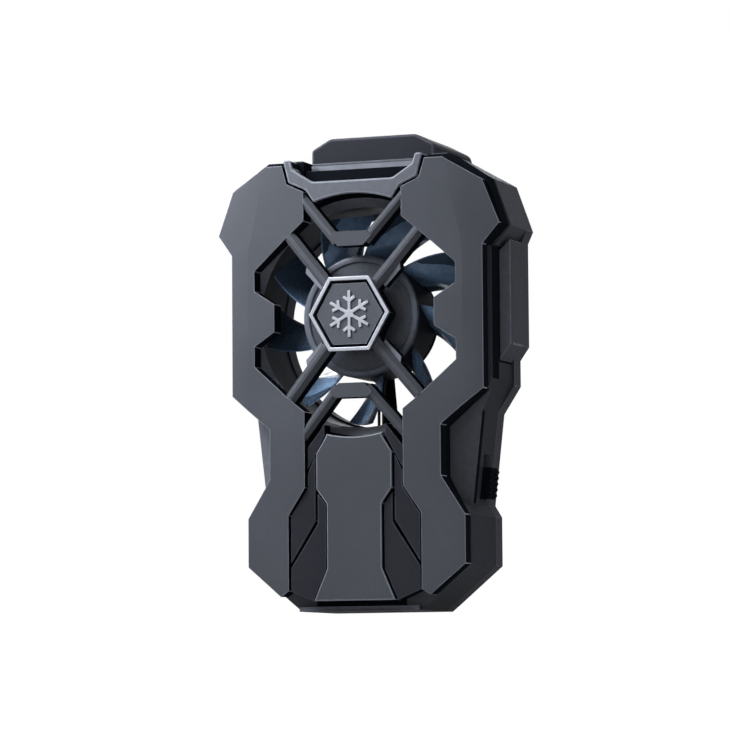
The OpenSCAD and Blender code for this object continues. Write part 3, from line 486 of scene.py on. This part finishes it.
def makeGrip(look, nodeName):
    bm = copyOf(nodeName)
    for depth in look["slitDepth"]:
        everything = list(bm.verts) + list(bm.edges) + list(bm.faces)
        bmesh.ops.bisect_plane(bm, geom=everything, plane_co=(0, frontY + depth * mm, 0), plane_no=(0, 1, 0))
    low, high = (frontY + depth * mm for depth in look["slitDepth"])
    outer = max(abs(v.co.x) for v in bm.verts)
    strip = [f for f in bm.faces if abs(f.normal.y) < 0.1 and low < f.calc_center_median().y < high
             and abs(f.calc_center_median().x) > outer - 1.2 * mm]
    edges = [e for e in sharpEdges(bm) if not any(f in strip for f in e.link_faces)]
    softenEdges(bm, edges, look["edge"] * mm)
    strip = [f for f in strip if f.is_valid]
    walls = bmesh.ops.inset_region(bm, faces=strip, thickness=0.01 * mm, depth=-look["slitCut"] * mm,
                                   use_even_offset=True)["faces"]
    for face in strip + walls:
        face.material_index = 1
    wearAndHighlight = bm.faces.layers.float["edgeWearAndHighlight"]
    for face in bm.faces:
        if face.normal.y < -0.9:
            face.material_index = 2
            face[wearAndHighlight] = look["frontPaintedLight"]
    piece = finishPiece(bm, nodeName + "Shell", [nodeName])
    piece.data.materials.append(materials["frame_black"])
    piece.data.materials.append(materials["rim_paint"])


for nodeName in ("left_side_grip", "right_side_grip"):
    makeGrip(gripLook, nodeName)


def paintHousing(look):
    # The front faces are painted paler than the walls as painted light, and the pockets, gaps and seams are
    # painted black as painted shade; the low walls are darker as painted shade, and the recess floors and the face
    # above the ledge get painted light
    piece = bpy.data.objects["mid_housingShell"]
    for name in ("frame_black", "rim_paint", "accent_paint"):
        piece.data.materials.append(materials[name])
    # Slot 1 is black as painted shadow, slot 2 pale as painted light and slot 3 dark as painted shade
    shadeBlack, pale, shadeDark = 1, 2, 3
    wearAndHighlight = piece.data.attributes["edgeWearAndHighlight"].data
    low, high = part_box("right_side_grip")
    halfWidth, ledgeLow, ledgeHigh = (size * mm for size in look["ledge"])
    for face in piece.data.polygons:
        centre = face.center - fanAxis
        depth = face.center.y - frontY
        if face.normal.y < -0.98:
            face.material_index = pale
            if abs(centre.x) < halfWidth and ledgeLow < centre.z < ledgeHigh:
                face.material_index = shadeBlack
            elif abs(centre.x) < halfWidth * 1.3 and centre.z > ledgeHigh:
                wearAndHighlight[face.index].value = 1
            elif face.center.z < look["footHeight"] * mm and depth < look["footDepth"] * mm:
                wearAndHighlight[face.index].value = look["recessPaintedLight"]
            elif face.center.z < look["footHeight"] * mm and abs(centre.x) < look["footWidth"] * mm:
                face.material_index = shadeBlack
            elif face.center.z < pocketBottom and depth > look["footDepth"] * 1.5 * mm:
                wearAndHighlight[face.index].value = look["recessPaintedLight"]
        elif abs(face.normal.y) < 0.3 and face.center.z < pocketBottom:
            face.material_index = shadeDark
            if abs(face.normal.x) > 0.98 and 9 * mm < depth < look["seamDepth"] * mm:
                face.material_index = shadeBlack
        elif abs(face.normal.x) > 0.98 and face.center.z < high[2] and abs(centre.x) > low[0] - 0.1 * mm:
            face.material_index = shadeBlack


paintHousing(housingLook)
print("badge seat, grips and housing finished")

# Air tunnel: its inner wall is painted as the housing is, its mouth paler like the housing's front with a painted
# highlight, and its struts stay black
tunnelLook = {"mouthRadius": 17.8, "mouthDepth": 7.6}


def paintTunnel(look):
    piece = bpy.data.objects["fan_shroudShell"]
    piece.data.materials.append(materials["rim_paint"])
    piece.data.materials.append(materials["housing_paint"])
    wearAndHighlight = piece.data.attributes["edgeWearAndHighlight"].data
    for face in piece.data.polygons:
        centre = face.center - fanAxis
        if math.hypot(centre.x, centre.z) < look["mouthRadius"] * mm:
            continue
        face.material_index = 2
        if face.center.y < frontY + look["mouthDepth"] * mm:
            face.material_index = 1
            wearAndHighlight[face.index].value = 1


paintTunnel(tunnelLook)

# Impeller: hub turned from its profile, and swept blades bent from a flat grid
fanLook = {
    "blades": 9,
    "hubRadius": 10.6,
    "tipRadius": 18.4,
    "sweep": 15,
    "cover": 22,
    "thickness": 0.9,
    "firstTip": 155,
    "bladeFront": 7.2,
    "bladeDepth": 7.3,
    "steps": (16, 14),
    "thinEdge": 0.35,  # a blade's edge as a share of its thickness
    "rimDepth": 6.4,
    "rimRadius": 9.3,
    "rimTone": 0.6,
    "hubProfile": [(0, 6.2), (9.3, 6.2), (9.35, 5.75), (9.5, 5.6), (10.2, 5.6), (10.45, 5.72), (10.6, 6.1), (10.6, 14.8),
                   (8.6, 14.8), (8.6, 7.0), (0, 7.0)],
}


def bladePoint(look, along, across, side):
    radius = look["hubRadius"] - 0.3 + (look["tipRadius"] - look["hubRadius"] + 0.3) * along
    angle = look["firstTip"] + look["sweep"] * (1 - along) - look["cover"] * across
    belly = look["thinEdge"] + (1 - look["thinEdge"]) * math.sqrt(max(0, 4 * across * (1 - across)))
    angle = math.radians(angle) - side * look["thickness"] * belly / radius
    depth = look["bladeFront"] + look["bladeDepth"] * (across + 0.09 * math.sin(math.pi * across))
    return Vector((radius * math.cos(angle) * mm, frontY + depth * mm, fanAxis.z + radius * math.sin(angle) * mm))


def makeImpeller(look):
    bm = bmesh.new()
    profile = [bm.verts.new((r * mm, frontY + d * mm, fanAxis.z)) for r, d in look["hubProfile"]]
    line = [bm.edges.new((profile[i], profile[i + 1])) for i in range(len(profile) - 1)]
    bmesh.ops.spin(bm, geom=profile + line, cent=fanAxis, axis=(0, 1, 0), dvec=(0, 0, 0),
                   angle=math.tau, steps=96, use_merge=True, use_duplicate=False)
    bmesh.ops.remove_doubles(bm, verts=bm.verts, dist=1e-6)
    bmesh.ops.recalc_face_normals(bm, faces=bm.faces)
    softenEdges(bm, sharpEdges(bm, 40), 0.1 * mm, 2)
    wearAndHighlight = bm.faces.layers.float["edgeWearAndHighlight"]
    for i in range(look["blades"]):
        made = bmesh.ops.create_grid(bm, x_segments=look["steps"][0], y_segments=look["steps"][1], size=0.5)
        sheet = made["verts"]
        faces = list({f for v in sheet for f in v.link_faces})
        back = bmesh.ops.duplicate(bm, geom=faces)["geom"]
        backVerts = [g for g in back if isinstance(g, bmesh.types.BMVert)]
        backFaces = [g for g in back if isinstance(g, bmesh.types.BMFace)]
        rimA = [e for e in {e for f in faces for e in f.edges} if e.is_boundary]
        rimB = [e for e in {e for f in backFaces for e in f.edges} if e.is_boundary]
        joined = bmesh.ops.bridge_loops(bm, edges=rimA + rimB)["faces"]
        for side, verts in ((0, sheet), (1, backVerts)):
            for vert in verts:
                vert.co = bladePoint(look, vert.co.x + 0.5, vert.co.y + 0.5, side)
        turn = Matrix.Rotation(-i * math.tau / look["blades"], 3, "Y")
        bmesh.ops.rotate(bm, verts=sheet + backVerts, cent=fanAxis, matrix=turn)
        bmesh.ops.recalc_face_normals(bm, faces=faces + backFaces + joined)
        # The blades' edge faces get a painted highlight
        for face in joined:
            face[wearAndHighlight] = 1
    piece = finishPiece(bm, "impellerShell", ["impeller"], 50)
    piece.data.materials.append(materials["cap_gloss"])  # the hub's rim
    piece.data.materials.append(materials["accent_paint"])  # the hub's side wall
    wearAndHighlight = piece.data.attributes["edgeWearAndHighlight"].data
    for face in piece.data.polygons:
        centre = face.center - fanAxis
        radius = math.hypot(centre.x, centre.z)
        if face.center.y > frontY + look["rimDepth"] * mm:
            face.material_index = 2 if radius < (look["hubRadius"] + 0.05) * mm else 0
        elif radius > look["rimRadius"] * mm:
            face.material_index = 1
            wearAndHighlight[face.index].value = look["rimTone"]


makeImpeller(fanLook)
print("impeller made")

# Everything else keeps its frame mesh and gets its finish
for nodeName, node in frame["nodes"].items():
    if not node.hide_render:
        node.data.materials.clear()
        node.data.materials.append(materials[slotOf[nodeName]])
print("frame pieces finished")
